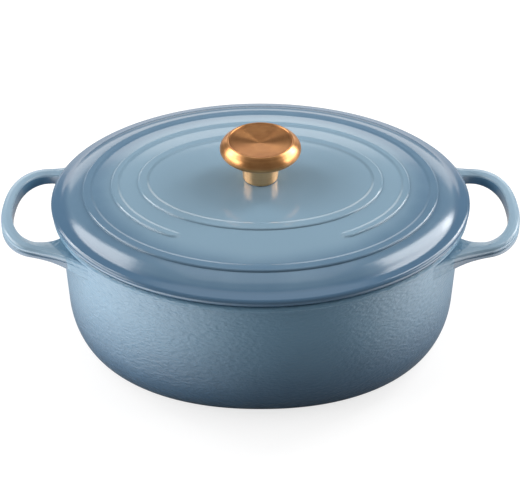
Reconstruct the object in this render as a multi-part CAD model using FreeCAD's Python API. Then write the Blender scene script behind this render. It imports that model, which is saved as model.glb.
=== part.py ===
"""Oval enamelled cast iron dutch oven: a lidded pot for the hob and the oven.

Millimetres, +Z up. X runs along the pot from handle to handle, and -Y is its front.
The origin is the centre of the foot that the pot stands on.

The pot and its two loop handles are one casting, and the lid is another. Both are ovals whose
outlines step inwards by the same amount all round, so a place on a section is given as
(offset, height): the offset is how far it lies inside the largest oval, the lid's edge.
The lid carries a knob of six turned and pressed pieces, held by one screw from below.
"""

import FreeCAD
import Part
import math
import os

V = FreeCAD.Vector

# The largest oval, which is the lid's edge.
HALF_LENGTH = 146.0
HALF_WIDTH = 120.2

# Pot casting.
RIM_TOP = 107.5
LIP_OFFSET = 0.5
LIP_HEIGHT = 4.0
LIP_ROUND = 1.6
WALL_OFFSET = 4.6
WALL_DRAFT = 0.6
WALL_THICK = 3.7
FLOOR_THICK = 4.4
FOOT_WIDTH = 11.0
FOOT_RECESS = 0.8
BOTTOM_ROUND_WIDE = 18.2
BOTTOM_ROUND_HIGH = 35.0
CIRCLE_WEIGHT = math.sqrt(0.5)

# Handles, cast with the pot. Outlines are superellipses seen from above.
HANDLE_CENTRE = 150.0
HANDLE_REACH = 31.5
HANDLE_HALF_SPAN = 49.0
HANDLE_ROOT_HALF_SPAN = 61.0
HANDLE_ROOT_X = 116.0
HANDLE_NECK = (136.0, 53.8)
HOLE_REACH = 23.5
HOLE_HALF_SPAN = 39.0
HANDLE_POWER = 2.25
HANDLE_THICK = 9.6
HANDLE_MIDDLE_Z = 94.6
HANDLE_RISE_DEG = 5.5
HANDLE_ROUND = 3.6

# Lid casting.
LID_GAP = 0.3
LID_SEAT = RIM_TOP + LID_GAP
LID_EDGE_Z = 111.2
EDGE_ROUND = 2.8
LID_THICK = 3.6
BROW = (20.0, 118.5)
BROW_PULL = (12.0, 117.28)
STEP_PULL = (10.2, 114.7)
STEP = (5.6, 113.95)
LIP = (2.6, 113.45)
DOME = [BROW, (22.0, 118.8), (42.4, 121.4), (61.4, 123.2), (69.1, 123.6)]
PLATE_TOP = 124.8
PAD_RADIUS = 13.0
RING_HEIGHT = 1.3
RING_SIDE = 1.6
OUTER_RING = (21.8, 30.2)
MIDDLE_RING = (41.6, 48.9)
INNER_RING = (60.6, 69.1)
MIDDLE_RING_GAP_DEG = 33.0
RIB_OUTER = 10.3
RIB_WIDTH = 3.4
RIB_BOTTOM = 102.5
SCREW_HOLE_RADIUS = 3.3
BOSS_BOTTOM = PLATE_TOP - 6.2

# Knob, turned about Z.
HEAD_RADIUS = 27.8
HEAD_WIDEST = 148.6
HEAD_TOP = 155.2
CAP_RADIUS = 21.6
CAP_THICK = 1.0
CAP_DISH = 1.5
CAP_SINK = 0.3
CAP_SEAT = 3.0
CAP_SEAT_FALL = 0.5
SHELL_THICK = 1.2
STEM_FOOT_RADIUS = 11.2
STEM_TOP_RADIUS = 13.0
STEM_TOP = 138.6
INSERT_RADIUS = 5.5
INSERT_FLANGE_RADIUS = 8.5
INSERT_FLANGE = 1.8
INSERT_TOP = STEM_TOP + SHELL_THICK + INSERT_FLANGE
THREAD_RADIUS = 2.95
SCREW_RADIUS = 2.85
SCREW_BEVEL = 0.6
SCREW_TOP = 136.0
SCREW_HEAD_RADIUS = 5.8
SCREW_HEAD_HEIGHT = 3.4
SCREW_DOME = 1.8
SCREW_SLOT = 1.2
SCREW_SLOT_DEPTH = 1.8
WASHER_RADIUS = 8.0
WASHER_THICK = 1.2
WASHER_HOLE = 3.2
SPRING_RADIUS = 5.4
SPRING_THICK = 1.6
SPRING_SPLIT = 1.4


# ---- Oval surfaces ----

def oval(offset, z, weight=1.0):
    """A place on a section, as the oval's half length, half width and height."""
    return (HALF_LENGTH - offset, HALF_WIDTH - offset, z, weight)


def round_place(radius, z, weight=1.0):
    """A place on a section where the oval is a circle."""
    return (radius, radius, z, weight)


def line(start, end):
    return [start, end]


def curve(start, corner, end, weight=CIRCLE_WEIGHT):
    """A conic from start to end that leaves and arrives towards corner."""
    return [start, corner[:3] + (weight,), end]


def s_curve(start, end, lean=0.62):
    """A side of a ridge: flat at both ends and steep between them."""
    mix = [tuple(a + (b - a) * lean for a, b in zip(start[:2], end[:2])),
           tuple(b + (a - b) * lean for a, b in zip(start[:2], end[:2]))]
    return [start, mix[0] + (start[2], 1.0), mix[1] + (end[2], 1.0), end]


def arc_poles(start_deg, end_deg):
    """Poles and weights of a unit arc of at most 90 degrees."""
    half = math.radians(end_deg - start_deg) / 2
    middle = math.radians(start_deg) + half
    corner = 1 / math.cos(half)
    angles = [(middle - half, 1.0), (middle, corner), (middle + half, 1.0)]
    poles = [(r * math.cos(a), r * math.sin(a)) for a, r in angles]
    return poles, [1.0, math.cos(half), 1.0]


QUARTERS = [(0, 90), (90, 180), (180, 270), (270, 360)]


def band(segment, spans=None):
    """Carries one section segment round the oval, as one face for each span of angle."""
    degree = len(segment) - 1
    faces = []
    for start, end in spans or QUARTERS:
        unit, weights = arc_poles(start, end)
        poles = [[V(a * ux, b * uy, z) for ux, uy in unit] for a, b, z, _ in segment]
        both = [[w * u for u in weights] for *_, w in segment]
        surface = Part.BSplineSurface()
        surface.buildFromPolesMultsKnots(
            poles, [degree + 1] * 2, [3, 3], [0, 1], [0, 1], False, False, degree, 2, both)
        faces.append(surface.toShape())
    return faces


def rim_wire(place):
    """The oval through one place of a section."""
    a, b, z, _ = place
    edges = []
    for start, end in QUARTERS:
        unit, weights = arc_poles(start, end)
        arc = Part.BSplineCurve()
        arc.buildFromPolesMultsKnots(
            [V(a * ux, b * uy, z) for ux, uy in unit], [3, 3], [0, 1], False, 2, weights)
        edges.append(arc.toShape())
    return Part.Wire(edges)


def cap(place):
    """The flat oval face inside one place of a section."""
    return Part.Face(rim_wire(place))


def flat_ring(inner, outer):
    """The flat face between two places at one height."""
    return Part.makeFace([rim_wire(outer), rim_wire(inner)], "Part::FaceMakerBullseye")


def closed(faces):
    """Sews faces into one solid with its outside outwards."""
    shell = Part.Shell(faces)
    shell.sewShape()
    solid = Part.Solid(shell)
    if solid.Volume < 0:
        solid.reverse()
    return solid


def dish_rise(radius, depth):
    """How far a spherical dish of that radius and depth has risen halfway out to its edge."""
    sphere = (radius ** 2 + depth ** 2) / (2 * depth)
    return sphere - math.sqrt(sphere ** 2 - radius ** 2 / 4)


def turned(section):
    """Turns a closed outline of (radius, z) places about Z.

    A place with a third item is the middle of an arc.
    """
    edges = []
    here = V(section[0][0], 0, section[0][1])
    middle = None
    for place in section[1:] + [section[0]]:
        point = V(place[0], 0, place[1])
        if len(place) == 3:
            middle = point
            continue
        if middle is None:
            edges.append(Part.LineSegment(here, point).toShape())
        else:
            edges.append(Part.Arc(here, middle, point).toShape())
        here = point
        middle = None
    return Part.Face(Part.Wire(edges)).revolve(V(0, 0, 0), V(0, 0, 1), 360)


# ---- Pot, one casting with its handles ----

def pot_shell():
    foot_outer = WALL_OFFSET + WALL_DRAFT + BOTTOM_ROUND_WIDE
    foot_inner = foot_outer + FOOT_WIDTH
    wall_foot = WALL_OFFSET + WALL_DRAFT
    lip_under = RIM_TOP - LIP_HEIGHT
    lip_round = LIP_OFFSET + LIP_ROUND
    inside = WALL_OFFSET + WALL_THICK
    inside_foot = inside + WALL_DRAFT
    recess = oval(foot_inner + 1.5, FOOT_RECESS)
    floor = oval(inside_foot + BOTTOM_ROUND_WIDE + 1, FLOOR_THICK)
    foot = flat_ring(oval(foot_inner, 0), oval(foot_outer, 0))
    section = [
        line(recess, oval(foot_inner, 0)),
        curve(oval(foot_outer, 0), oval(wall_foot, 0), oval(wall_foot, BOTTOM_ROUND_HIGH)),
        line(oval(wall_foot, BOTTOM_ROUND_HIGH), oval(WALL_OFFSET, lip_under - 4.5)),
        curve(oval(WALL_OFFSET, lip_under - 4.5), oval(WALL_OFFSET, lip_under - 0.3),
              oval(lip_round, lip_under)),
        curve(oval(lip_round, lip_under), oval(LIP_OFFSET, lip_under),
              oval(LIP_OFFSET, lip_under + LIP_ROUND)),
        curve(oval(LIP_OFFSET, lip_under + LIP_ROUND), oval(LIP_OFFSET, RIM_TOP), oval(lip_round, RIM_TOP)),
        line(oval(lip_round, RIM_TOP), oval(inside - 1.5, RIM_TOP)),
        curve(oval(inside - 1.5, RIM_TOP), oval(inside, RIM_TOP), oval(inside, RIM_TOP - 1.5)),
        line(oval(inside, RIM_TOP - 1.5), oval(inside_foot, BOTTOM_ROUND_HIGH + 3)),
        curve(oval(inside_foot, BOTTOM_ROUND_HIGH + 3), oval(inside_foot, FLOOR_THICK), floor),
    ]
    return closed([f for s in section for f in band(s)] + [foot, cap(recess), cap(floor)])


def superellipse(reach, half_span, degrees):
    """A place on a handle outline, at an angle from its outer end."""
    c = math.cos(math.radians(degrees))
    s = math.sin(math.radians(degrees))
    x = HANDLE_CENTRE + reach * math.copysign(abs(c) ** (2 / HANDLE_POWER), c)
    y = half_span * math.copysign(abs(s) ** (2 / HANDLE_POWER), s)
    return V(x, y, 0)


def spline(points, closed_loop=False):
    made = Part.BSplineCurve()
    made.interpolate(points, PeriodicFlag=closed_loop)
    return made.toShape()


def handle():
    """The loop handle at +X, with its roots running inside the pot's wall."""
    side = [superellipse(HANDLE_REACH, HANDLE_HALF_SPAN, d) for d in range(-80, 81, 10)]
    root = [V(HANDLE_ROOT_X, -HANDLE_ROOT_HALF_SPAN, 0), V(HANDLE_NECK[0], -HANDLE_NECK[1], 0)]
    mirrored = [V(p.x, -p.y, 0) for p in reversed(root)]
    outside = spline(root + side + mirrored)
    closing = Part.LineSegment(mirrored[-1], root[0]).toShape()
    hole = spline([superellipse(HOLE_REACH, HOLE_HALF_SPAN, d) for d in range(0, 360, 15)], True)
    plate = Part.Face(Part.Wire([outside, closing])).extrude(V(0, 0, HANDLE_THICK))
    loop = plate.cut(Part.Face(Part.Wire([hole])).extrude(V(0, 0, HANDLE_THICK)))
    rims = [e for e in loop.Edges
            if abs(e.BoundBox.ZMax - e.BoundBox.ZMin) < 0.01 and e.BoundBox.XMax > HANDLE_ROOT_X + 1]
    loop = loop.makeFillet(HANDLE_ROUND, rims)
    loop.translate(V(0, 0, HANDLE_MIDDLE_Z - HANDLE_THICK / 2))
    loop.rotate(V(HALF_LENGTH, 0, HANDLE_MIDDLE_Z), V(0, -1, 0), HANDLE_RISE_DEG)
    return loop


def wall_core():
    """Everything inside the middle of the pot's wall, which trims the handles' roots."""
    middle = WALL_OFFSET + WALL_THICK / 2 + WALL_DRAFT / 2
    low = oval(middle, HANDLE_MIDDLE_Z - 30)
    high = oval(middle, RIM_TOP + 10)
    return closed(band(line(low, high)) + [cap(low), cap(high)])


def pot():
    right = handle().cut(wall_core())
    left = right.mirror(V(0, 0, 0), V(1, 0, 0))
    return pot_shell().fuse([right, left])


# ---- Lid ----

def dome_z(offset):
    """Height of the lid's top between its rings."""
    for (o1, z1), (o2, z2) in zip(DOME, DOME[1:]):
        if offset <= o2:
            return z1 + (z2 - z1) * (offset - o1) / (o2 - o1)
    return DOME[-1][1]


def ring_ridge(ring):
    """Section segments of a raised ring, from its inner foot to its outer foot."""
    outer, inner = ring
    feet = [oval(o, dome_z(o)) for o in (inner, outer)]
    crown = [oval(o, dome_z(o) + RING_HEIGHT) for o in (inner - RING_SIDE, outer + RING_SIDE)]
    return [s_curve(feet[0], crown[0]), line(*crown), s_curve(crown[1], feet[1])]


def middle_ring():
    """The middle ring, which stops short of the front and has rounded ends."""
    outer, inner = MIDDLE_RING
    centre = (outer + inner) / 2
    foot = (inner - outer) / 2
    top = foot - RING_SIDE
    ground = dome_z(centre) - 0.4
    crown = dome_z(centre) + RING_HEIGHT
    deep = dome_z(centre) - 1.8
    places = [oval(centre + foot, deep), oval(centre + foot, ground), oval(centre + top, crown),
              oval(centre - top, crown), oval(centre - foot, ground), oval(centre - foot, deep)]
    section = [
        line(places[0], places[1]), s_curve(places[1], places[2]), line(places[2], places[3]),
        s_curve(places[3], places[4]), line(places[4], places[5]), line(places[5], places[0])]
    first = -90 + MIDDLE_RING_GAP_DEG
    last = 270 - MIDDLE_RING_GAP_DEG
    pieces = 5
    step = (last - first) / pieces
    spans = [(first + i * step, first + (i + 1) * step) for i in range(pieces)]
    faces = [f for s in section for f in band(s, spans)]
    buttons = []
    for angle in (first, last):
        c = math.cos(math.radians(angle))
        s = math.sin(math.radians(angle))
        edges = []
        for segment in section:
            side = Part.BezierCurve()
            side.setPoles([V(a * c, b * s, z) for a, b, z, _ in segment])
            edges.append(side.toShape())
        faces.append(Part.Face(Part.Wire(Part.__sortEdges__(edges))))
        axis = V((HALF_LENGTH - centre) * c, (HALF_WIDTH - centre) * s, 0)
        side = Part.BezierCurve()
        side.setPoles([V(foot, 0, ground), V(foot - RING_SIDE * 0.62, 0, ground),
                       V(top + RING_SIDE * 0.62, 0, crown), V(top, 0, crown)])
        loop = [side.toShape(),
                Part.LineSegment(V(top, 0, crown), V(0, 0, crown)).toShape(),
                Part.LineSegment(V(0, 0, crown), V(0, 0, deep)).toShape(),
                Part.LineSegment(V(0, 0, deep), V(foot, 0, deep)).toShape(),
                Part.LineSegment(V(foot, 0, deep), V(foot, 0, ground)).toShape()]
        button = Part.Face(Part.Wire(Part.__sortEdges__(loop))).revolve(V(0, 0, 0), V(0, 0, 1), 360)
        button.translate(axis)
        buttons.append(button)
    return closed(faces), buttons


def lid():
    hole_top = round_place(SCREW_HOLE_RADIUS, PLATE_TOP)
    hole_low = round_place(SCREW_HOLE_RADIUS, BOSS_BOTTOM)
    pad_top = round_place(PAD_RADIUS, PLATE_TOP)
    pad_low = round_place(PAD_RADIUS, BOSS_BOTTOM)
    plate_edge = oval(INNER_RING[1], dome_z(INNER_RING[1]))
    edge = oval(0, LID_EDGE_Z)
    rib_in = RIB_OUTER + RIB_WIDTH
    under = [oval(o, z - LID_THICK) for o, z in DOME[1:]]
    boss_root = round_place(PAD_RADIUS + 3, PLATE_TOP - LID_THICK - 0.4)
    section = [
        line(hole_top, pad_top),
        [pad_top, (48.0, 34.0, PLATE_TOP, 1.0), plate_edge],
        *ring_ridge(INNER_RING),
        line(oval(INNER_RING[0], dome_z(INNER_RING[0])), oval(OUTER_RING[1], dome_z(OUTER_RING[1]))),
        *ring_ridge(OUTER_RING),
        line(oval(OUTER_RING[0], dome_z(OUTER_RING[0])), oval(*BROW)),
        [oval(*place) for place in (BROW, BROW_PULL, STEP_PULL, STEP)],
        line(oval(*STEP), oval(*LIP)),
        curve(oval(*LIP), oval(0, LIP[1] - 0.3), edge),
        curve(edge, oval(0, LID_SEAT), oval(EDGE_ROUND, LID_SEAT)),
        line(oval(EDGE_ROUND, LID_SEAT), oval(RIB_OUTER, LID_SEAT)),
        line(oval(RIB_OUTER, LID_SEAT), oval(RIB_OUTER + 0.3, RIB_BOTTOM + 1)),
        curve(oval(RIB_OUTER + 0.3, RIB_BOTTOM + 1), oval(RIB_OUTER + 0.3, RIB_BOTTOM),
              oval(RIB_OUTER + 1.3, RIB_BOTTOM)),
        line(oval(RIB_OUTER + 1.3, RIB_BOTTOM), oval(rib_in - 1, RIB_BOTTOM)),
        curve(oval(rib_in - 1, RIB_BOTTOM), oval(rib_in, RIB_BOTTOM), oval(rib_in, RIB_BOTTOM + 1)),
        line(oval(rib_in, RIB_BOTTOM + 1), oval(rib_in + 0.5, LID_SEAT + 1)),
        curve(oval(rib_in + 0.5, LID_SEAT + 1), oval(rib_in + 0.8, under[0][2] - 1), under[0]),
        line(under[0], under[1]),
        line(under[1], under[2]),
        line(under[2], under[3]),
        [under[3], (48.0, 34.0, PLATE_TOP - LID_THICK - 0.4, 1.0), boss_root],
        s_curve(boss_root, pad_low),
        line(pad_low, hole_low),
        line(hole_low, hole_top),
    ]
    body = closed([f for s in section for f in band(s)])
    ring, buttons = middle_ring()
    return body.fuse([ring, *buttons])


# ---- Knob and its fastening ----

def knob_cap():
    """The dished disc let into the top of the knob."""
    edge = HEAD_TOP - CAP_SINK
    centre = edge - CAP_DISH
    radius = CAP_RADIUS - 0.05
    halfway = centre + dish_rise(radius, CAP_DISH)
    return turned([
        (0.0, centre), (radius / 2, halfway, "mid"), (radius, edge), (radius, edge - CAP_THICK),
        (radius / 2, halfway - CAP_THICK, "mid"), (0.0, centre - CAP_THICK)])


def knob_head():
    """The pressed hollow head: a lip that sits on the stem, a cupped underside, a round rim and a bevel."""
    seat = HEAD_TOP - CAP_SINK - CAP_THICK
    seat_edge = seat - CAP_SEAT_FALL
    inner_lip = INSERT_RADIUS + 0.1
    t = SHELL_THICK
    return turned([
        (inner_lip, STEM_TOP), (STEM_TOP_RADIUS, STEM_TOP),
        (19.2, STEM_TOP + 3.5, "mid"), (HEAD_RADIUS - 2.8, HEAD_WIDEST - 3.7),
        (HEAD_RADIUS - 0.6, HEAD_WIDEST - 2.3, "mid"), (HEAD_RADIUS, HEAD_WIDEST),
        (HEAD_RADIUS - 0.6, HEAD_WIDEST + 2.6, "mid"), (HEAD_RADIUS - 2.1, HEAD_WIDEST + 4.9),
        (HEAD_RADIUS - 3.6, HEAD_WIDEST + 6.1, "mid"), (CAP_RADIUS + 0.9, HEAD_TOP),
        (CAP_RADIUS, HEAD_TOP - CAP_SINK), (CAP_RADIUS, seat), (CAP_RADIUS - CAP_SEAT, seat_edge),
        (CAP_RADIUS - CAP_SEAT, seat_edge - t), (CAP_RADIUS + 0.6, seat - t),
        (HEAD_RADIUS - 2.8, HEAD_WIDEST + 1.8), (HEAD_RADIUS - 2.8, HEAD_WIDEST - 1.4),
        (18.8, STEM_TOP + 4.8, "mid"), (STEM_TOP_RADIUS - 0.8, STEM_TOP + t),
        (inner_lip, STEM_TOP + t)])


def knob_stem():
    """The turned foot of the knob, narrowest where it stands on the lid."""
    return turned([
        (INSERT_RADIUS, PLATE_TOP), (STEM_FOOT_RADIUS, PLATE_TOP),
        (STEM_FOOT_RADIUS + 0.7, PLATE_TOP + 0.4, "mid"), (STEM_FOOT_RADIUS + 1.0, PLATE_TOP + 1.4),
        (STEM_TOP_RADIUS, STEM_TOP),
        (INSERT_RADIUS, STEM_TOP)])


def knob_insert():
    """The threaded bush pressed into the stem. Its flange clamps the head's lip."""
    flange_low = STEM_TOP + SHELL_THICK
    return turned([
        (THREAD_RADIUS, PLATE_TOP + 0.5), (INSERT_RADIUS, PLATE_TOP + 0.5), (INSERT_RADIUS, flange_low),
        (INSERT_FLANGE_RADIUS, flange_low), (INSERT_FLANGE_RADIUS, INSERT_TOP), (THREAD_RADIUS, INSERT_TOP)])


def knob_screw():
    """The pan head screw from under the lid, with a cross slot."""
    head_top = BOSS_BOTTOM - WASHER_THICK - SPRING_THICK
    head_low = head_top - SCREW_HEAD_HEIGHT
    dome = head_low + dish_rise(SCREW_HEAD_RADIUS, SCREW_DOME)
    body = turned([
        (0.0, head_low), (SCREW_HEAD_RADIUS / 2, dome, "mid"),
        (SCREW_HEAD_RADIUS, head_low + SCREW_DOME), (SCREW_HEAD_RADIUS, head_top),
        (SCREW_RADIUS, head_top), (SCREW_RADIUS, SCREW_TOP - SCREW_BEVEL),
        (SCREW_RADIUS - SCREW_BEVEL, SCREW_TOP), (0.0, SCREW_TOP)])
    reach = SCREW_HEAD_RADIUS * 1.1
    for dx, dy in ((reach, SCREW_SLOT), (SCREW_SLOT, reach)):
        slot = Part.makeBox(dx, dy, SCREW_SLOT_DEPTH + 1, V(-dx / 2, -dy / 2, head_low - 1))
        body = body.cut(slot)
    return body


def flat_washer():
    low = BOSS_BOTTOM - WASHER_THICK
    ring = Part.makeCylinder(WASHER_RADIUS, WASHER_THICK, V(0, 0, low))
    return ring.cut(Part.makeCylinder(WASHER_HOLE, WASHER_THICK, V(0, 0, low)))


def spring_washer():
    """The split ring that keeps the screw tight."""
    low = BOSS_BOTTOM - WASHER_THICK - SPRING_THICK
    ring = Part.makeCylinder(SPRING_RADIUS, SPRING_THICK, V(0, 0, low))
    ring = ring.cut(Part.makeCylinder(WASHER_HOLE, SPRING_THICK, V(0, 0, low)))
    split = Part.makeBox(SPRING_RADIUS, SPRING_SPLIT, SPRING_THICK * 3,
                         V(WASHER_HOLE / 2, -SPRING_SPLIT / 2, low - SPRING_THICK))
    split.rotate(V(WASHER_HOLE, 0, low + SPRING_THICK / 2), V(1, 0, 0), 25)
    return ring.cut(split)


PIECES = {
    "pot": pot,
    "lid": lid,
    "knob_cap": knob_cap,
    "knob_head": knob_head,
    "knob_stem": knob_stem,
    "knob_insert": knob_insert,
    "knob_screw": knob_screw,
    "flat_washer": flat_washer,
    "spring_washer": spring_washer,
}

os.makedirs("parts", exist_ok=True)
for name, make in PIECES.items():
    shape = make()
    print(name, "valid", shape.isValid(), "solids", len(shape.Solids), "cm3", round(shape.Volume / 1000, 2))
    shape.exportStep(f"parts/{name}.step")
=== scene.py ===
import math

import bpy
import numpy as np
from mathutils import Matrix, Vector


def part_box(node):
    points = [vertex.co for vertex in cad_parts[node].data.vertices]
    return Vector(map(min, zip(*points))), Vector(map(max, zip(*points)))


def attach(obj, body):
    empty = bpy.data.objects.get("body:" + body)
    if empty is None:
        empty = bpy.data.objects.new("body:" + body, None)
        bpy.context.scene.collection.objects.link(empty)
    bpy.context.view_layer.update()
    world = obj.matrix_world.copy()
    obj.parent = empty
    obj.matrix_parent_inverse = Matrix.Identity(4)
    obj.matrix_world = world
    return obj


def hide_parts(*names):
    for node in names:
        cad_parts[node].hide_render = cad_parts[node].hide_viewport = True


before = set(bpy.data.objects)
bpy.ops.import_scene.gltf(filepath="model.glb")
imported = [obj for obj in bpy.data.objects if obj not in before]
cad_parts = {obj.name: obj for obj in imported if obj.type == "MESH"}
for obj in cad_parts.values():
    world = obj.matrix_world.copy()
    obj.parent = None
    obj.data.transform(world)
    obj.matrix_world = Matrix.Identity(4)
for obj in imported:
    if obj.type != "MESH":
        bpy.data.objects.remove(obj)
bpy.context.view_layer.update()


# ---- Pot casting ----
# The pot is one sand casting of grey iron, and its two loop handles are cast with it. It is dipped and
# fired in vitreous enamel: blue-grey outside, sand inside, and a thin matt dark coat on the rim and foot.

MM = 0.001
pot_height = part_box("pot")[1][2]
lid_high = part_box("lid")[1]
half_length = lid_high[0] / MM
half_width = lid_high[1] / MM
rim_top = pot_height / MM
lip_offset = 0.5
lip_height = 4.0
wall_offset = 4.6
wall_foot_offset = 5.2
wall_thick = 3.7
floor_thick = 4.4
bottom_round_wide = 18.2
bottom_round_high = 35.0
foot_width = 11.0
foot_recess = 0.8
AROUND = 384


def inset(offset, z):
    """A section's place as (half length, half width, height), offset inwards from the largest oval."""
    return (half_length - offset, half_width - offset, z)


def straight(start, end, count):
    """count places spread evenly from start up to, but not including, end."""
    t = np.arange(count)[:, None] / count
    return np.array(start) * (1 - t) + np.array(end) * t


def turn(start, knee, end, count):
    """A round corner from start up to, but not including, end, which leaves and arrives towards knee.

    It is a conic: each place is the average of the three, weighted (1-t)^2, 2wt(1-t) and t^2. With w
    the root of a half, it turns a square corner as a quarter of an ellipse.
    """
    weight = math.sqrt(0.5)
    t = np.arange(count)[:, None] / count
    shares = ((1 - t) ** 2, 2 * weight * t * (1 - t), t ** 2)
    total = shares[0] + shares[1] + shares[2]
    return (shares[0] * start + shares[1] * knee + shares[2] * end) / total


def oval_rings(section, square=0.0):
    """A ring of points for each place of a section, shape (places, AROUND, 3), in metres.

    x = a k cos(angle) and y = b k sin(angle). k is 1 on a true oval. With square above 0 the oval is a
    superellipse of power 2 + square, where k = (|cos|^n + |sin|^n)^(-1/n).
    """
    angle = np.arange(AROUND) * 2 * math.pi / AROUND
    power = 2 + np.broadcast_to(square, len(section))[:, None]
    cosine, sine = np.cos(angle)[None], np.sin(angle)[None]
    k = (np.abs(cosine) ** power + np.abs(sine) ** power) ** (-1 / power)
    a, b, z = (section[:, i, None] for i in range(3))
    return np.stack([a * k * cosine, b * k * sine, z + 0 * cosine], axis=2) * MM


def strip_faces(rows, columns, close_rows=False):
    """Quads between neighbouring rows of a grid whose columns run round and join up."""
    last = rows if close_rows else rows - 1
    r = np.arange(last)[:, None]
    c = np.arange(columns)[None]
    below, above = r % rows * columns, (r + 1) % rows * columns
    here, beyond = c, (c + 1) % columns
    return np.stack([below + here, below + beyond, above + beyond, above + here], 2).reshape(-1, 4)


def fan_faces(ring_first, columns, centre, outwards=True):
    """Triangles from one ring of points to a point in its middle."""
    c = np.arange(columns)
    pair = (ring_first + c, ring_first + (c + 1) % columns)
    near, far = pair if outwards else pair[::-1]
    return np.stack([near, far, np.full(columns, centre)], 1)


def build(name, points, faces, finishes, finish_of_face):
    """A smooth mesh object at the origin from arrays of points, faces and each face's finish."""
    mesh = bpy.data.meshes.new(name)
    mesh.from_pydata(points.reshape(-1, 3).tolist(), [], [f for part in faces for f in part.tolist()])
    for finish in finishes:
        mesh.materials.append(finish)
    mesh.polygons.foreach_set("material_index", np.concatenate(finish_of_face).astype(np.int32))
    mesh.polygons.foreach_set("use_smooth", np.ones(len(mesh.polygons), dtype=bool))
    mesh.update()
    piece = bpy.data.objects.new(name, mesh)
    bpy.context.collection.objects.link(piece)
    return piece


class Nodes:
    """A short way to add and join the nodes of one node tree."""

    def __init__(self, tree):
        self.tree = tree

    def add(self, kind, settings=None, **inputs):
        """Adds a node. Inputs are given by socket name with _ for a space, as values or as sockets."""
        node = self.tree.nodes.new(kind)
        for key, value in (settings or {}).items():
            setattr(node, key, value)
        for key, value in inputs.items():
            socket = node.inputs[int(key[1:]) if key[1:].isdigit() else key.replace("_", " ")]
            if isinstance(value, bpy.types.NodeSocket):
                self.tree.links.new(value, socket)
            else:
                socket.default_value = value
        return node

    def math(self, operation, first, second=0.0):
        """One sum, product or the like of two values or sockets."""
        return self.add("ShaderNodeMath", {"operation": operation}, i0=first, i1=second).outputs[0]

    def ramp(self, value, low, high, to_low=0.0, to_high=1.0):
        """A smooth step of a value between two limits."""
        node = self.add("ShaderNodeMapRange", {"interpolation_type": "SMOOTHSTEP"}, Value=value,
                        From_Min=low, From_Max=high, To_Min=to_low, To_Max=to_high)
        return node.outputs["Result"]

    def mix(self, share, first, second):
        """A colour that goes from the first to the second as share goes from 0 to 1."""
        node = self.add("ShaderNodeMix", {"data_type": "RGBA"})
        for socket, value in zip((node.inputs[0], node.inputs[6], node.inputs[7]), (share, first, second)):
            if isinstance(value, bpy.types.NodeSocket):
                self.tree.links.new(value, socket)
            else:
                socket.default_value = value
        return node.outputs[2]

    def stretched(self, vector, scale):
        """A vector with each of its parts multiplied."""
        return self.add("ShaderNodeMapping", {"vector_type": "POINT"}, Vector=vector, Scale=scale).outputs[0]

    def length(self, vector):
        """The length of a vector."""
        return self.add("ShaderNodeVectorMath", {"operation": "LENGTH"}, Vector=vector).outputs["Value"]

    def noise(self, vector, scale, detail):
        """Soft random values round 0.5, finer as scale grows."""
        return self.add("ShaderNodeTexNoise", None, Vector=vector, Scale=scale, Detail=detail).outputs[0]


def new_group(name, inputs, outputs):
    """An empty node group with its sockets. Returns the group, its nodes and its two end nodes."""
    group = bpy.data.node_groups.new(name, "ShaderNodeTree")
    for socket, kind in inputs.items():
        group.interface.new_socket(socket, in_out="INPUT", socket_type=kind)
    for socket, kind in outputs.items():
        group.interface.new_socket(socket, in_out="OUTPUT", socket_type=kind)
    nodes = Nodes(group)
    return group, nodes, nodes.add("NodeGroupInput"), nodes.add("NodeGroupOutput")


def fired_enamel_group():
    """The look shared by every enamelled face: cloudy colour, orange peel, and specks.

    Shade runs from 0, the deep colour, to 1, the light colour. Some callers feed it painted light and shade.
    """
    group, nodes, given, made = new_group(
        "fired_enamel",
        {"Vector": "NodeSocketVector", "Shade": "NodeSocketFloat", "Deep": "NodeSocketColor",
         "Light": "NodeSocketColor", "Gloss": "NodeSocketFloat"},
        {"Color": "NodeSocketColor", "Roughness": "NodeSocketFloat", "Height": "NodeSocketFloat"})
    place = given.outputs["Vector"]
    cloud = nodes.noise(place, 38.0, 4.0)
    grain = nodes.noise(place, 2600.0, 1.0)
    peel = nodes.noise(place, 260.0, 2.0)
    wander = nodes.math("MULTIPLY", nodes.math("SUBTRACT", cloud, 0.5), 0.22)
    speck = nodes.math("MULTIPLY", nodes.math("SUBTRACT", grain, 0.5), 0.10)
    shade = nodes.math("ADD", nodes.math("ADD", given.outputs["Shade"], wander), speck)
    clamped = nodes.ramp(shade, 0.0, 1.0)
    colour = nodes.mix(clamped, given.outputs["Deep"], given.outputs["Light"])
    group.links.new(colour, made.inputs["Color"])
    rough = nodes.math("ADD", given.outputs["Gloss"], nodes.math("MULTIPLY", peel, 0.06))
    group.links.new(rough, made.inputs["Roughness"])
    group.links.new(peel, made.inputs["Height"])
    return group


fired_enamel = fired_enamel_group()


def new_finish(name):
    """A material with one Principled shader. Returns it, its nodes, the shader and Object coordinates."""
    finish = bpy.data.materials.new(name)
    finish.use_nodes = True
    tree = finish.node_tree
    tree.nodes.clear()
    nodes = Nodes(tree)
    shader = nodes.add("ShaderNodeBsdfPrincipled")
    end = nodes.add("ShaderNodeOutputMaterial")
    tree.links.new(shader.outputs[0], end.inputs[0])
    place = nodes.add("ShaderNodeTexCoord").outputs["Object"]
    return finish, nodes, shader, place


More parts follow.
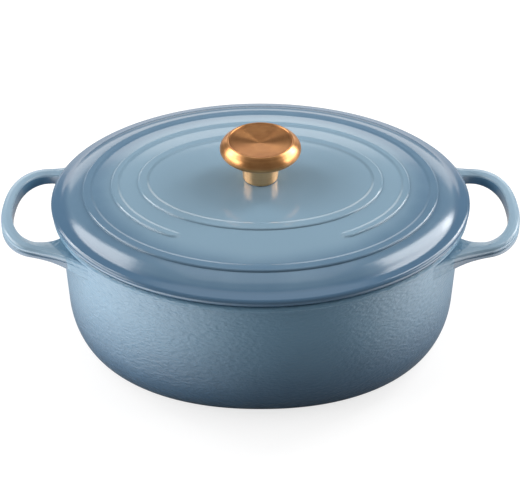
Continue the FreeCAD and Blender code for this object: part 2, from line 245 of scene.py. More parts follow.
def enamel(name, deep, light, shade_of, gloss, ripple=0.0):
    """Enamel whose shade is worked out by shade_of(nodes, place). ripple is how deep the casting marks are.

    The marks are noise, longer round the pot than up it, on top of the coat's fine orange peel.
    """
    peel_depth = 0.00004
    glass_ior = 1.52
    finish, nodes, shader, place = new_finish(name)
    coat = nodes.add("ShaderNodeGroup", {"node_tree": fired_enamel}, Vector=place, Deep=deep, Light=light,
                     Gloss=gloss, Shade=shade_of(nodes, place))
    link = nodes.tree.links.new
    link(coat.outputs["Color"], shader.inputs["Base Color"])
    link(coat.outputs["Roughness"], shader.inputs["Roughness"])
    bump = nodes.add("ShaderNodeBump", None, Height=coat.outputs["Height"], Strength=0.5,
                     Distance=peel_depth)
    if ripple:
        marks = nodes.noise(nodes.stretched(place, (270.0, 270.0, 560.0)), 1.0, 2.0)
        bump = nodes.add("ShaderNodeBump", None, Height=marks, Strength=0.8, Distance=ripple,
                         Normal=bump.outputs[0])
    link(bump.outputs[0], shader.inputs["Normal"])
    shader.inputs["IOR"].default_value = glass_ior
    return finish


def height_shade(low, high, deepest, lightest):
    """A shade that lightens with height, from deepest at low to lightest at high."""
    def shade(nodes, place):
        z = nodes.add("ShaderNodeSeparateXYZ", None, Vector=place).outputs[2]
        return nodes.ramp(z, low, high, deepest, lightest)
    return shade


def handle_painted_light_and_shade(nodes, place):
    """Painted light on top of the loop, painted shade down its sides, and the wall's shade at its root."""
    x, _, z = nodes.add("ShaderNodeSeparateXYZ", None, Vector=place).outputs
    wall_shade = 0.44
    out = nodes.ramp(nodes.math("ABSOLUTE", x), 0.116, 0.138)
    loop = nodes.ramp(z, pot_height * 0.86, pot_height * 0.935, 0.15, 1.0)
    from_wall = nodes.math("MULTIPLY", nodes.math("SUBTRACT", loop, wall_shade), out)
    return nodes.math("ADD", from_wall, wall_shade)


def even_shade(nodes, place):
    """A shade that only clouds a little from place to place."""
    return nodes.ramp(nodes.noise(place, 60.0, 3.0), 0.3, 0.7, 0.3, 0.7)


outside_deep = (0.034, 0.080, 0.140, 1.0)
outside_light = (0.100, 0.200, 0.290, 1.0)
pot_outside = enamel("pot_outside_enamel", outside_deep, outside_light,
                     height_shade(0.0, pot_height * 0.9, 0.1, 0.9), gloss=0.30, ripple=0.0008)
# The handle's lighter colour is a painted sheen on top of the loop, and its sides get painted shade.
handle_painted_enamel = enamel("handle_painted_light_enamel", outside_deep, (0.205, 0.300, 0.380, 1.0), handle_painted_light_and_shade, gloss=0.22)
# Inside the handle's hole the enamel is painted deeper: a painted shade in the recess.
hole_painted_shade = enamel("handle_hole_painted_shade_enamel", outside_deep, outside_light,
                      height_shade(pot_height * 0.84, pot_height * 0.96, 0.1, 0.7), gloss=0.10)
inside_sand = enamel("inside_sand_enamel", (0.66, 0.60, 0.49, 1.0), (0.74, 0.68, 0.56, 1.0), even_shade,
                     gloss=0.14)
bare_rim = enamel("rim_matt_enamel", (0.018, 0.019, 0.022, 1.0), (0.06, 0.06, 0.065, 1.0), even_shade,
                  gloss=0.42)
# In FINISH, hole is the handle hole's inner wall, which carries the painted shade.
FINISH = {"outside": 0, "ringed": 0, "inside": 1, "rim": 2, "handle": 3, "hole": 4}


def pot_section():
    """The pot's section from the middle of its underside, up the wall, and down to its inner floor."""
    foot_out = wall_foot_offset + bottom_round_wide
    foot_in = foot_out + foot_width
    under = rim_top - lip_height
    inside = wall_offset + wall_thick
    inside_foot = wall_foot_offset + wall_thick
    lip_round = 1.6
    floor_edge = inset(inside_foot + bottom_round_wide + 1, floor_thick)
    runs = [
        ("outside", straight((0, 0, foot_recess), inset(foot_in + 1.5, foot_recess), 8)[1:]),
        ("rim", straight(inset(foot_in + 1.5, foot_recess), inset(foot_in, 0), 2)),
        ("rim", straight(inset(foot_in, 0), inset(foot_out + 0.6, 0), 5)),
        ("rim", straight(inset(foot_out + 0.6, 0), inset(foot_out, 0), 1)),
        ("outside", turn(inset(foot_out, 0), inset(wall_foot_offset, 0),
                         inset(wall_foot_offset, bottom_round_high), 30)),
        ("outside", straight(inset(wall_foot_offset, bottom_round_high),
                             inset(wall_offset, under - 4.5), 16)),
        ("outside", turn(inset(wall_offset, under - 4.5), inset(wall_offset, under - 0.3),
                         inset(lip_offset + lip_round, under), 8)),
        ("outside", turn(inset(lip_offset + lip_round, under), inset(lip_offset, under),
                         inset(lip_offset, under + lip_round), 6)),
        ("outside", turn(inset(lip_offset, under + lip_round), inset(lip_offset, rim_top),
                         inset(lip_offset + lip_round, rim_top), 8)),
        ("rim", straight(inset(lip_offset + lip_round, rim_top), inset(inside - 1.5, rim_top), 4)),
        ("rim", turn(inset(inside - 1.5, rim_top), inset(inside, rim_top),
                     inset(inside, rim_top - 1.5), 5)),
        ("inside", straight(inset(inside, rim_top - 1.5), inset(inside_foot, bottom_round_high + 3), 14)),
        ("inside", turn(inset(inside_foot, bottom_round_high + 3), inset(inside_foot, floor_thick),
                        floor_edge, 24)),
        ("inside", straight(floor_edge, (0, 0, floor_thick), 8)),
    ]
    finish = np.concatenate([np.full(len(run), FINISH[kind]) for kind, run in runs])
    return np.concatenate([run for _, run in runs]), finish


def pot_shell():
    """Points, faces and finishes of the pot without its handles, closed at both middles.

    Towards its foot the oval grows a little squarer.
    """
    section, finish = pot_section()
    foot_square = 0.16
    low_share = np.clip(1 - section[:, 2] / (rim_top - 12), 0, 1)
    rings = oval_rings(section, foot_square * low_share).reshape(-1, 3)
    rows = len(section)
    points = np.concatenate([rings, [[0, 0, foot_recess * MM], [0, 0, floor_thick * MM]]])
    faces = [strip_faces(rows, AROUND), fan_faces(0, AROUND, rows * AROUND, False),
             fan_faces((rows - 1) * AROUND, AROUND, rows * AROUND + 1)]
    kinds = [np.repeat(finish[:-1], AROUND), np.full(AROUND, FINISH["outside"]),
             np.full(AROUND, FINISH["inside"])]
    return points, faces, kinds


# A handle is a loop whose outer and inner outlines are superellipses seen from above. Its section is a
# band with a crowned top, a crease below its shoulder and a deeper root that flows into the wall.
handle_centre = 150.0
outer_reach, outer_half_span, outer_power = 32.3, 50.0, 2.28
hole_reach, hole_half_span, hole_power = 24.0, 39.8, 2.3
handle_tip_top, handle_neck_top = 103.4, 98.9
handle_tip_low, handle_neck_low, handle_root_low = 92.7, 90.8, 86.0
handle_neck_x = 146


def superellipse(reach, span, power, angle):
    """x = centre + reach |cos|^(2/p), with its sign, and y = span |sin|^(2/p)."""
    c, s = np.cos(angle), np.sin(angle)
    x = handle_centre + reach * np.sign(c) * np.abs(c) ** (2 / power)
    return np.stack([x, span * np.abs(s) ** (2 / power)], 1)


def bezier(places, t):
    """A cubic Bezier curve through the first and last of four places."""
    a, b, c, d = (np.array(p, float)[None] for p in places)
    t = t[:, None]
    return a * (1 - t) ** 3 + 3 * b * t * (1 - t) ** 2 + 3 * c * t ** 2 * (1 - t) + d * t ** 3


def handle_outlines(u):
    """The outer edge and the hole's edge in plan, for u from 0 at the tip to 1 inside the wall.

    The outer edge follows its superellipse for loop_share of the way, then runs tangentially on to the
    wall. The hole's edge keeps to its own superellipse, and its last part is inside the wall.
    """
    loop_share = 0.55
    loop = np.clip(u / loop_share, 0, 1)
    flow = np.clip((u - loop_share) / (1 - loop_share), 0, 1)
    last = math.radians(80)
    outer_loop = superellipse(outer_reach, outer_half_span, outer_power, loop * last)
    neck = superellipse(outer_reach, outer_half_span, outer_power, np.array([last]))[0]
    outer_root = bezier([neck, (137.0, 52.6), (122.0, 60.4), (105.5, 75.6)], flow)
    outer = np.where((u < loop_share)[:, None], outer_loop, outer_root)
    hole = superellipse(hole_reach, hole_half_span, hole_power, u * math.radians(128))
    return outer, hole


def band_section(width, thick):
    """The band's section for each station, as (inwards-to-outwards, upwards) places, shape (n, m, 2).

    Round corners are arcs of fixed size about corner centres that move with the width and thickness.
    """
    arcs = [
        # share of width, offset, share of thickness, offset, radius, first angle, last angle, count
        (0, 1.3, 1, -1.3, 1.3, 180, 95, 6),
        (0.5, 0.0, 1, 0.0, 0.35, 95, 80, 3),
        (1, -3.1, 1, -2.6, 2.6, 88, -12, 12),
        (1, -1.3, 1, -3.9, 0.35, 60, -30, 4),
        (1, -1.3, 1, -5.2, 1.0, 60, 0, 4),
        (1, -2.6, 0, 2.4, 2.4, 0, -90, 8),
        (0.67, 0.0, 0, 0.3, 0.3, -80, -100, 3),
        (0.33, 0.0, 0, 0.3, 0.3, -80, -100, 3),
        (0, 2.4, 0, 2.4, 2.4, -90, -180, 7),
    ]
    across, up = [], []
    for w_share, w_off, t_share, t_off, radius, first, last, count in arcs:
        angle = np.radians(np.linspace(first, last, count))[None]
        across.append(w_share * width[:, None] + w_off + radius * np.cos(angle))
        up.append(t_share * thick[:, None] + t_off + radius * np.sin(angle))
    return np.concatenate(across, 1), np.concatenate(up, 1)


def held_in_wall(plan):
    """Plan places, with any that are deep in the wall moved out to just below its outside.

    depth = sqrt((x/a)^2 + (y/b)^2) is 1 on the wall's outside, and places below least are scaled up to it.
    """
    least = 0.990
    wall = np.array([half_length - wall_offset, half_width - wall_offset])
    depth = np.linalg.norm(plan / wall, axis=-1, keepdims=True)
    return plan * np.maximum(1, least / depth)


def handle(side):
    """Points, faces and finishes of one handle: the band's section carried along both outlines.

    The band rises towards its tip and deepens over its root, and its root takes the wall's finish.
    """
    stations = 181
    root_start, root_length, blend_start = 0.62, 0.30, 0.78
    t = np.linspace(-1, 1, stations)
    u = np.abs(t)
    outer, hole = handle_outlines(u)
    tip_x = handle_centre + outer_reach
    reach = np.clip((outer[:, 0] - handle_neck_x) / (tip_x - handle_neck_x), 0, 1)
    root = np.clip((u - root_start) / root_length, 0, 1)
    root = root * root * (3 - 2 * root)
    top = handle_neck_top + (handle_tip_top - handle_neck_top) * reach ** 1.3
    low = handle_neck_low + (handle_tip_low - handle_neck_low) * reach
    low = low + (handle_root_low - handle_neck_low) * root
    width = np.linalg.norm(outer - hole, axis=1)
    across, up = band_section(width, top - low)
    share = (across / width[:, None])[:, :, None]
    plan = held_in_wall(hole[:, None] * (1 - share) + outer[:, None] * share)
    front = np.where(t < 0, -1, 1)[:, None]
    x, y, z = side * plan[:, :, 0], front * plan[:, :, 1], low[:, None] + up
    rows, columns = x.shape
    points = np.stack([x, y, z], 2).reshape(-1, 3)
    middles = points.reshape(rows, columns, 3)[[0, -1]].mean(1)
    middles[:, :2] = held_in_wall(middles[:, :2])
    faces = [strip_faces(rows, columns), fan_faces(0, columns, rows * columns, False),
             fan_faces((rows - 1) * columns, columns, rows * columns + 1)]
    if side > 0:
        faces = [part[:, ::-1] for part in faces]
    kinds = [np.full(len(part), FINISH["handle"]) for part in faces]
    # The hole's inner wall takes the painted shade finish.
    kinds[0][columns - 1::columns] = FINISH["hole"]
    kinds[0][np.repeat(u[:-1] > blend_start, columns)] = FINISH["outside"]
    return np.concatenate([points, middles]) * MM, faces, kinds


def joined(parts):
    """Several sets of points, faces and finishes as one."""
    points, faces, kinds, first = [], [], [], 0
    for part_points, part_faces, part_kinds in parts:
        points.append(part_points)
        faces += [part + first for part in part_faces]
        kinds += part_kinds
        first += len(part_points)
    return np.concatenate(points), faces, kinds


pot_points, pot_faces, pot_kinds = joined([pot_shell(), handle(-1), handle(1)])
pot = build("pot_casting", pot_points, pot_faces, [pot_outside, inside_sand, bare_rim, handle_painted_enamel,
                                                   hole_painted_shade], pot_kinds)
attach(pot, "pot")
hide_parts("pot")


# ---- Lid casting ----
# The lid is a second iron casting: a shallow dome with a stepped, rolled flange, three raised rings and,
# below, a rib that drops inside the pot's rim. It has the same enamel, lightest in the middle of its top,
# with painted shade round its rolled edge.

lid_gap = 0.3
lid_seat = rim_top + lid_gap
lid_edge_z = 111.2
edge_round = 2.8
lid_lip = (2.6, 113.45)
lid_step = (5.6, 113.95)
flange_low_pull = (10.2, 114.7)
flange_high_pull = 12.0
flange_slope = 0.155
plate_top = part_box("knob_stem")[0][2] / MM
lid_thick = 3.6
crown = 9.8
crown_power = 2.43
ring_height = 0.9
ring_outer_side, ring_inner_side = 1.5, 2.6
outer_ring = (22.2, 30.0)
middle_ring = (42.0, 48.8)
inner_ring = (60.8, 69.2)
middle_ring_gap = math.radians(34.0)
rib_offset, rib_width, rib_low = 10.3, 3.4, 102.5
pad_radius = 13.0
hole_radius = 3.3
boss_low = plate_top - 6.2


def dome(half_wide):
    """Height of the lid's top: the plate's, less a power of the share of the way out to the edge."""
    return plate_top - crown * (half_wide / half_width) ** crown_power


def ring_profile(from_outer, from_inner):
    """Height share of a ring's section, from the distances inside its outer and inner outlines.

    The outer side is a quarter ellipse, sqrt(1 - (1 - t)^2), upright at its foot. The inner side is a
    smooth step.
    """
    rise = np.clip(from_outer / ring_outer_side, 0, 1)
    fall = np.clip(from_inner / ring_inner_side, 0, 1)
    return np.sqrt(1 - (1 - rise) ** 2) * fall * fall * (3 - 2 * fall)


def ring_heights(offset, angle):
    """How far the rings stand up at an offset and an angle round the lid, both as arrays that spread.

    A ring's top is level: what the dome falls across the ring is added to its height.
    """
    height = 0.0
    for first, last in (outer_ring, middle_ring, inner_ring):
        level = ring_height + dome(half_width - (first + last) / 2) - dome(half_width - offset)
        share = ring_profile(offset - first, last - offset) + 0 * angle
        if (first, last) == middle_ring:
            share = share * middle_ring_share(offset, angle)
        height = height + level * share
    return height


def middle_ring_share(offset, angle):
    """How much of the middle ring is left near its open stretch, where it ends in a round nose."""
    first, last = middle_ring
    middle, half = (first + last) / 2, (last - first) / 2
    from_front = np.abs((angle + math.pi / 2 + math.pi) % (2 * math.pi) - math.pi)
    a, b = half_length - middle, half_width - middle
    beyond = np.maximum(middle_ring_gap - from_front, 0) * np.hypot(a * np.sin(angle), b * np.cos(angle))
    inside = half - np.hypot(beyond, np.abs(offset - middle))
    nose = np.clip(inside / ring_outer_side, 0, 1)
    return np.where(beyond > 0, nose * nose * (3 - 2 * nose), 1.0)


def near_edges(rings):
    """Offsets over all the rings, close together where a ring's height changes quickly."""
    outer_stops = np.array([-0.6, -0.08, 0.0, 0.03, 0.1, 0.22, 0.4, 0.65, 0.95, 1.25, 1.5, 2.0])
    inner_stops = np.array([-3.0, -2.6, -2.2, -1.8, -1.4, -1.0, -0.6, -0.3, 0.0, 0.5])
    stops = [stop for first, last in rings for stop in (first + outer_stops, last + inner_stops)]
    margin = 1.5
    plates = [np.linspace(this[1] + margin, after[0] - margin, 5) for this, after in zip(rings, rings[1:])]
    return np.sort(np.concatenate(stops + plates))


def circle(radius, z):
    """A section's place that is round in plan, like inset's oval ones."""
    return (radius, radius, z)


def lid_section():
    """The lid's section as a closed loop: from the screw hole over the top, round the edge and back below.

    Returns its places, their finishes, and which of them are on the top that carries the rings.
    """
    top_offsets = near_edges((outer_ring, middle_ring, inner_ring))[::-1]
    top = np.array([inset(o, dome(half_width - o)) for o in top_offsets])
    first, last = top[0], top[-1]
    share = np.linspace(0, 1, 15)[:-1, None]
    pad = np.array(circle(pad_radius, 0))
    plate = pad * (1 - share) + first * share
    plate[:, 2] = dome(plate[:, 1] * (1 - np.exp(-plate[:, 1] / pad_radius)))
    hole_top, hole_low = circle(hole_radius, plate_top), circle(hole_radius, boss_low)
    pull_drop = (half_width - last[1] - flange_high_pull) * flange_slope
    step, lip = inset(*lid_step), inset(*lid_lip)
    flange = bezier((last, inset(flange_high_pull, last[2] - pull_drop), inset(*flange_low_pull), step),
                    np.arange(40) / 40)
    rib_in = rib_offset + rib_width
    boss_top = plate_top - lid_thick - 0.3
    below = [inset(o, dome(half_width - o) - lid_thick) for o in (22.0, 42.0, 62.0, 80.0)]
    runs = [
        ("outside", straight(hole_top, circle(pad_radius, plate_top), 4)),
        ("outside", plate),
        ("ringed", top[:-1]),
        ("outside", flange),
        ("outside", straight(step, lip, 5)),
        ("outside", turn(lip, inset(0, lip[2] - 0.3), inset(0, lid_edge_z), 14)),
        ("outside", turn(inset(0, lid_edge_z), inset(0, lid_seat), inset(edge_round, lid_seat), 10)),
        ("rim", straight(inset(edge_round, lid_seat), inset(rib_offset - 0.6, lid_seat), 4)),
        ("rim", turn(inset(rib_offset - 0.6, lid_seat), inset(rib_offset, lid_seat),
                     inset(rib_offset, lid_seat - 0.6), 4)),
        ("inside", straight(inset(rib_offset, lid_seat - 0.6), inset(rib_offset + 0.3, rib_low + 1.2), 3)),
        ("inside", turn(inset(rib_offset + 0.3, rib_low + 1.2), inset(rib_offset + 0.3, rib_low),
                        inset(rib_offset + 1.5, rib_low), 6)),
        ("inside", turn(inset(rib_offset + 1.5, rib_low), inset(rib_in, rib_low),
                        inset(rib_in, rib_low + 1.2), 6)),
        ("inside", straight(inset(rib_in, rib_low + 1.2), inset(rib_in + 0.4, lid_seat), 4)),
        ("inside", turn(inset(rib_in + 0.4, lid_seat), inset(rib_in + 1.0, below[0][2] - 0.8),
                        below[0], 10)),
        ("inside", straight(below[0], below[1], 6)),
        ("inside", straight(below[1], below[2], 6)),
        ("inside", straight(below[2], below[3], 6)),
        ("inside", straight(below[3], circle(pad_radius + 4, boss_top), 10)),
        ("inside", turn(circle(pad_radius + 4, boss_top),
                        circle(pad_radius + 1, plate_top - lid_thick - 0.4),
                        circle(pad_radius, boss_low + 1), 8)),
        ("inside", turn(circle(pad_radius, boss_low + 1), circle(pad_radius, boss_low),
                        circle(pad_radius - 1, boss_low), 5)),
        ("inside", straight(circle(pad_radius - 1, boss_low), hole_low, 5)),
        ("rim", straight(hole_low, hole_top, 3)),
    ]
    finish = np.concatenate([np.full(len(run), FINISH[kind]) for kind, run in runs])
    tops = np.concatenate([np.full(len(run), kind == "ringed") for kind, run in runs])
    return np.concatenate([run for _, run in runs]), finish, tops


def lid_shell():
    """Points, faces and finishes of the lid, its rings raised from the dome."""
    section, finish, is_top = lid_section()
    rings = oval_rings(section)
    angle = np.arange(AROUND)[None] * 2 * math.pi / AROUND
    offset = half_width - section[:, 1, None]
    rings[:, :, 2] += np.where(is_top[:, None], ring_heights(offset, angle), 0) * MM
    faces = strip_faces(len(section), AROUND, close_rows=True)
    return rings, [faces[:, ::-1]], [np.repeat(finish, AROUND)]


def share_of_oval(nodes, place):
    """How far out in plan a place is, from 0 in the middle to 1 on the lid's outline."""
    return nodes.length(nodes.stretched(place, (1 / (half_length * MM), 1 / (half_width * MM), 0.0)))


def lid_shade_with_painted_edge(nodes, place):
    """Lightest over the lid's middle, deeper over its flange, and a painted shade round its rolled edge."""
    out = share_of_oval(nodes, place)
    flange = nodes.ramp(out, 0.62, 0.80, 1.0, 0.36)
    # The dip round the rolled edge is painted shade.
    return nodes.math("SUBTRACT", flange, nodes.ramp(out, 0.91, 0.95, 0.0, 0.35))


lid_outside = enamel("lid_outside_enamel", (0.058, 0.118, 0.190, 1.0), (0.170, 0.262, 0.336, 1.0), lid_shade_with_painted_edge,
                     gloss=0.12)
lid_points, lid_faces, lid_kinds = lid_shell()
lid = build("lid_casting", lid_points, lid_faces, [lid_outside, inside_sand, bare_rim], lid_kinds)
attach(lid, "lid")
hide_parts("lid")


# ---- Knob head ----
# The hollow head is pressed from stainless steel and turned, so its bevel carries fine brush lines
# that run round it. A copper-gold coating is laid over the steel.

head_low, head_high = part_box("knob_head")
head_radius = head_high[0] / MM
head_top = head_high[2] / MM
head_widest = head_top - 6.6
cap_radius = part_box("knob_cap")[1][0] / MM + 0.05
cap_sink = head_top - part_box("knob_cap")[1][2] / MM
cap_thick = 1.0
stem_top = head_low[2] / MM
stem_top_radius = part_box("knob_stem")[1][0] / MM
TURNED_AROUND = 256


def turned(name, section, finish):
    """A solid of revolution about Z from a section of (radius, height) places.

    x = r cos(angle), y = r sin(angle). A section that starts and ends on the axis is closed there by
    one point each; any other section is a closed loop.
    """
    section = np.asarray(section, float)
    on_axis = section[0, 0] == 0
    rings = section[1:-1] if on_axis else section
    angle = np.arange(TURNED_AROUND)[None] * 2 * math.pi / TURNED_AROUND
    r, z = rings[:, 0, None], rings[:, 1, None]
    points = np.stack([r * np.cos(angle), r * np.sin(angle), z + 0 * angle], 2).reshape(-1, 3)
    rows = len(rings)
    faces = [strip_faces(rows, TURNED_AROUND, close_rows=not on_axis)]
    if on_axis:
        ends = np.array([[0, 0, section[0, 1]], [0, 0, section[-1, 1]]])
        points = np.concatenate([points, ends])
        faces += [fan_faces(0, TURNED_AROUND, len(points) - 2, False),
                  fan_faces((rows - 1) * TURNED_AROUND, TURNED_AROUND, len(points) - 1)]
    return build(name, points * MM, faces, [finish], [np.zeros(len(f)) for f in faces])


def brushed_turning_group():
    """Brush lines that run round an axis: noise that changes only with radius and height."""
    group, nodes, given, made = new_group(
        "brushed_turning",
        {"Vector": "NodeSocketVector", "Metal": "NodeSocketColor", "Tarnish": "NodeSocketColor",
         "Polish": "NodeSocketFloat"},
        {"Color": "NodeSocketColor", "Roughness": "NodeSocketFloat", "Height": "NodeSocketFloat"})
    place = given.outputs["Vector"]
    radius = nodes.length(nodes.stretched(place, (1.0, 1.0, 0.0)))
    z = nodes.add("ShaderNodeSeparateXYZ", None, Vector=place).outputs[2]
    along = nodes.math("ADD", radius, nodes.math("MULTIPLY", z, 0.7))
    lines = nodes.add("ShaderNodeTexNoise", {"noise_dimensions": "1D"}, W=along, Scale=5200.0,
                      Detail=3.0).outputs[0]
    bands = nodes.add("ShaderNodeTexNoise", {"noise_dimensions": "1D"}, W=along, Scale=900.0,
                      Detail=1.0).outputs[0]
    cloud = nodes.noise(place, 120.0, 3.0)
    stain = nodes.math("ADD", nodes.math("MULTIPLY", bands, 0.55), nodes.math("MULTIPLY", cloud, 0.45))
    colour = nodes.mix(nodes.ramp(stain, 0.35, 0.65), given.outputs["Tarnish"], given.outputs["Metal"])
    group.links.new(colour, made.inputs["Color"])
    rough = nodes.math("ADD", given.outputs["Polish"], nodes.math("MULTIPLY", lines, 0.10))
    group.links.new(rough, made.inputs["Roughness"])
    group.links.new(lines, made.inputs["Height"])
    return group


brushed_turning = brushed_turning_group()


def turned_metal(name, metal, tarnish, polish, groove, grain):
    """Turned metal. groove is the depth of its brush lines, and grain how far they stretch a highlight."""
    finish, nodes, shader, place = new_finish(name)
    coat = nodes.add("ShaderNodeGroup", {"node_tree": brushed_turning}, Vector=place, Metal=metal,
                     Tarnish=tarnish, Polish=polish)
    link = nodes.tree.links.new
    link(coat.outputs["Color"], shader.inputs["Base Color"])
    link(coat.outputs["Roughness"], shader.inputs["Roughness"])
    bump = nodes.add("ShaderNodeBump", None, Height=coat.outputs["Height"], Strength=0.4, Distance=groove)
    link(bump.outputs[0], shader.inputs["Normal"])
    shader.inputs["Metallic"].default_value = 1.0
    shader.inputs["Anisotropic"].default_value = grain
    shader.inputs["Anisotropic Rotation"].default_value = 0.25
    round_axis = nodes.add("ShaderNodeTangent", {"direction_type": "RADIAL", "axis": "Z"})
    link(round_axis.outputs[0], shader.inputs["Tangent"])
    return finish


copper_gold = turned_metal("copper_gold_brushed", (0.66, 0.335, 0.14, 1.0), (0.50, 0.23, 0.085, 1.0),
                           0.28, 0.000015, 0.7)


def head_section():
    """The head's closed section: lip, cupped underside, round rim, bevel, cap seat and hollow inside."""
    inner_lip, shell = 5.6, 1.2
    seat = head_top - cap_sink - cap_thick
    ledge, ledge_z = cap_radius - 3.0, seat - 0.5
    hollow = head_radius - 2.8
    widest = (head_radius, head_widest)
    under = (head_radius - 2.8, head_widest - 3.7)
    brow = (head_radius - 2.6, head_widest + 4.6)
    crest = (cap_radius + 0.9, head_top)
    runs = [
        straight((inner_lip, stem_top), (stem_top_radius, stem_top), 4),
        turn((stem_top_radius, stem_top), (stem_top_radius + 2.5, stem_top + 4.2), under, 24),
        turn(under, (head_radius - 0.1, head_widest - 3.0), widest, 14),
        turn(widest, (head_radius, head_widest + 2.7), brow, 18),
        turn(brow, (head_radius - 4.4, head_top - 0.35), crest, 14),
        turn(crest, (cap_radius, head_top), (cap_radius, head_top - cap_sink), 6),
        straight((cap_radius, head_top - cap_sink), (cap_radius, seat), 2),
        straight((cap_radius, seat), (ledge, ledge_z), 3),
        straight((ledge, ledge_z), (ledge, ledge_z - shell), 2),
        straight((ledge, ledge_z - shell), (cap_radius + 0.6, seat - shell), 3),
        straight((cap_radius + 0.6, seat - shell), (hollow, head_widest + 1.8), 3),
        straight((hollow, head_widest + 1.8), (hollow, head_widest - 1.4), 3),
        turn((hollow, head_widest - 1.4), (stem_top_radius + 1.6, stem_top + 5.4),
             (stem_top_radius - 0.8, stem_top + shell), 12),
        straight((stem_top_radius - 0.8, stem_top + shell), (inner_lip, stem_top + shell), 4),
        straight((inner_lip, stem_top + shell), (inner_lip, stem_top), 2),
    ]
    return np.concatenate(runs)


head = turned("knob_head_shell", head_section(), copper_gold)
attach(head, "lid")
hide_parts("knob_head")


# ---- Knob cap ----
# The cap is a spun disc, slightly dished, pressed into the head. It is left plain, and its face is
# brushed in circles, so light draws a bow tie on it.

cap_edge_z = head_top - cap_sink
cap_spun_deeper = 0.6
cap_dish = cap_edge_z - cap_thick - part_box("knob_cap")[0][2] / MM
copper_cap = turned_metal("copper_gold_spun_cap", (0.62, 0.30, 0.115, 1.0), (0.46, 0.20, 0.075, 1.0),
                          0.22, 0.00002, 0.9)


def cap_section():
    """The cap's section. Below, z rises from the middle as the square of the radius. Above, it rises
    straight, a little deeper, so the disc thins towards the middle. The edge is rounded."""
    r = np.linspace(0, cap_radius - 0.25, 26)
    dish = cap_edge_z - cap_dish * (1 - (r / cap_radius) ** 2)
    under = np.stack([r, dish - cap_thick], 1)
    spun = cap_edge_z - (cap_dish + cap_spun_deeper) * (1 - r / cap_radius)
    over = np.stack([r, spun], 1)[::-1]
    side = [(cap_radius - 0.07, under[-1, 1] + 0.1), (cap_radius - 0.05, under[-1, 1] + 0.3),
            (cap_radius - 0.05, over[0, 1] - 0.2), (cap_radius - 0.12, over[0, 1] - 0.05)]
    return np.concatenate([under, side, over])


cap = turned("knob_cap_disc", cap_section(), copper_cap)
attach(cap, "lid")
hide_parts("knob_cap")


# ---- Knob stem ----
# The stem is turned and lightly brushed, with a gold coating. It stands on the lid's plate on a small
# rounded foot and widens a little towards the head, which sits flat on its top.

stem_foot_radius = 11.2
stem_gold = turned_metal("gold_brushed", (1.0, 0.62, 0.32, 1.0), (0.92, 0.54, 0.27, 1.0),
                         0.30, 0.000006, 0.7)


def stem_section():
    """The stem's closed section about the bush's bore."""
    bore = 5.5
    foot_top = (stem_foot_radius + 1.0, plate_top + 1.4)
    runs = [
        straight((bore, plate_top), (stem_foot_radius, plate_top), 4),
        turn((stem_foot_radius, plate_top), (stem_foot_radius + 1.0, plate_top), foot_top, 8),
        straight(foot_top, (stem_top_radius - 0.05, stem_top - 0.6), 8),
        turn((stem_top_radius - 0.05, stem_top - 0.6), (stem_top_radius, stem_top),
             (stem_top_radius - 0.5, stem_top), 5),
        straight((stem_top_radius - 0.5, stem_top), (bore, stem_top), 4),
        straight((bore, stem_top), (bore, plate_top), 4),
    ]
    return np.concatenate(runs)


stem = turned("knob_stem_turned", stem_section(), stem_gold)
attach(stem, "lid")
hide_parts("knob_stem")


# ---- Bush, screw and washers ----
# A bush pressed into the stem takes the pan head screw that comes up through the lid. A flat washer
# spreads its load on the enamel and a split one keeps it tight. All are plain steel, left as turned.

turned_steel = turned_metal("plain_turned_steel", (0.60, 0.60, 0.61, 1.0), (0.42, 0.42, 0.43, 1.0),
                            0.26, 0.00002, 0.4)
spring_steel = turned_metal("oiled_spring_steel", (0.34, 0.33, 0.33, 1.0), (0.20, 0.19, 0.19, 1.0),
                            0.34, 0.00002, 0.3)
for node, finish in (("knob_insert", turned_steel), ("knob_screw", turned_steel),
                     ("flat_washer", turned_steel), ("spring_washer", spring_steel)):
    steel_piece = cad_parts[node]
    steel_piece.data.materials.clear()
    steel_piece.data.materials.append(finish)


# ---- Table, light and camera ----
# The pot stands on a pale table between two broad soft lamps, with a wide one behind it and three higher
# up. Two patches of table in front of it glow softly, and they light the sides of its wall.

look_at = (0.0007, 0.0, 0.0655)


def aim(thing, place):
    """Puts a lamp or the camera at a place, facing look_at with its top up."""
    thing.location = place
    direction = thing.location.copy()
    direction.xyz = [a - p for a, p in zip(look_at, place)]
    thing.rotation_euler = direction.to_track_quat("-Z", "Y").to_euler()


def new_lamp(name, size, power, place):
    """A rectangular soft lamp at a place, turned to face the pot."""
    data = bpy.data.lights.new(name, "AREA")
    data.shape = "RECTANGLE"
    data.size, data.size_y = size
    data.energy = power
    lamp = bpy.data.objects.new(name, data)
    bpy.context.collection.objects.link(lamp)
    aim(lamp, place)
    return lamp


# The table is mid grey with two glowing patches to the light that falls on it, and nearly plain white to
# the camera, where only a share of the shading it receives is seen.
table_finish, table_nodes, table_shader, table_place = new_finish("table_white")
table_tone = table_nodes.ramp(table_nodes.noise(table_place, 9.0, 2.0), 0.2, 0.8, 0.50, 0.54)
table_nodes.tree.links.new(table_tone, table_shader.inputs["Roughness"])
table_shader.inputs["Base Color"].default_value = (0.30, 0.30, 0.30, 1.0)
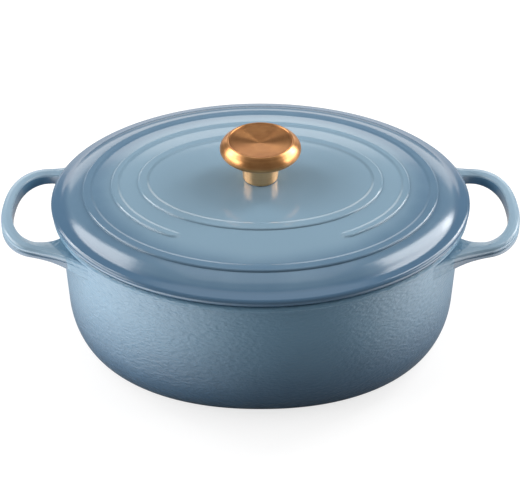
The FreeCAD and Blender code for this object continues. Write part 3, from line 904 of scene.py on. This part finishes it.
# Next to the pot the glow fades out, a painted shadow round its foot.
open_table = table_nodes.ramp(share_of_oval(table_nodes, table_place), 1.0, 1.6)
glow = 0.0
for middle, reach, strength in (((-0.24, -0.185, 0.0), 0.27, 4.3), ((0.32, -0.13, 0.0), 0.23, 3.8)):
    from_pool = table_nodes.add("ShaderNodeVectorMath", {"operation": "DISTANCE"}, i0=table_place,
                                i1=middle).outputs["Value"]
    glow = table_nodes.math("ADD", table_nodes.ramp(from_pool, 0.03, reach, strength, 0.0), glow)
glow = table_nodes.math("MULTIPLY", glow, open_table)
table_nodes.tree.links.new(glow, table_shader.inputs["Emission Strength"])
table_shader.inputs["Emission Color"].default_value = (1.0, 1.0, 1.0, 1.0)
seen_white = table_nodes.add("ShaderNodeEmission", None, Strength=1.15)
seen_shaded = table_nodes.add("ShaderNodeBsdfDiffuse")
seen = table_nodes.add("ShaderNodeMixShader", None, i0=0.35, i1=seen_white.outputs[0],
                       i2=seen_shaded.outputs[0])
ray = table_nodes.add("ShaderNodeLightPath")
table_look = table_nodes.add("ShaderNodeMixShader", None, i0=ray.outputs["Is Camera Ray"],
                             i1=table_shader.outputs[0], i2=seen.outputs[0])
table_end = next(n for n in table_nodes.tree.nodes if n.type == "OUTPUT_MATERIAL")
table_nodes.tree.links.new(table_look.outputs[0], table_end.inputs[0])
table_half = 4.0
table_mesh = bpy.data.meshes.new("table")
table_mesh.from_pydata([(-table_half, -table_half, 0), (table_half, -table_half, 0),
                        (table_half, table_half, 0), (-table_half, table_half, 0)], [], [(0, 1, 2, 3)])
table_mesh.materials.append(table_finish)
table = bpy.data.objects.new("table", table_mesh)
bpy.context.collection.objects.link(table)

new_lamp("left_lamp", (1.1, 0.6), 14.0, (-1.05, -0.05, 0.62))
new_lamp("right_lamp", (1.1, 0.6), 12.5, (1.05, 0.20, 0.58))
backdrop = new_lamp("backdrop_lamp", (2.1, 0.58), 7.0, (0.0, 1.50, 0.52))
backdrop.data.color = (1.0, 0.93, 0.87)
new_lamp("back_left_lamp", (0.34, 0.60), 4.8, (-0.755, 0.395, 0.950))
new_lamp("back_right_lamp", (0.34, 0.76), 7.0, (0.745, 0.470, 0.915))
new_lamp("top_lamp", (0.60, 0.50), 0.95, (0.0, 0.35, 1.12))

world = bpy.data.worlds.new("studio")
world.use_nodes = True
world.node_tree.nodes["Background"].inputs["Color"].default_value = (1.0, 0.98, 0.96, 1.0)
world.node_tree.nodes["Background"].inputs["Strength"].default_value = 0.22
bpy.context.scene.world = world
bpy.context.scene.view_settings.view_transform = "Standard"

camera_elevation = math.radians(37.7)
camera_distance = 0.8392
camera_data = bpy.data.cameras.new("camera")
camera_data.lens = 79.57
camera_data.sensor_width = 36.0
camera = bpy.data.objects.new("camera", camera_data)
bpy.context.collection.objects.link(camera)
aim(camera, (look_at[0], -camera_distance * math.cos(camera_elevation),
             look_at[2] + camera_distance * math.sin(camera_elevation)))
bpy.context.scene.camera = camera
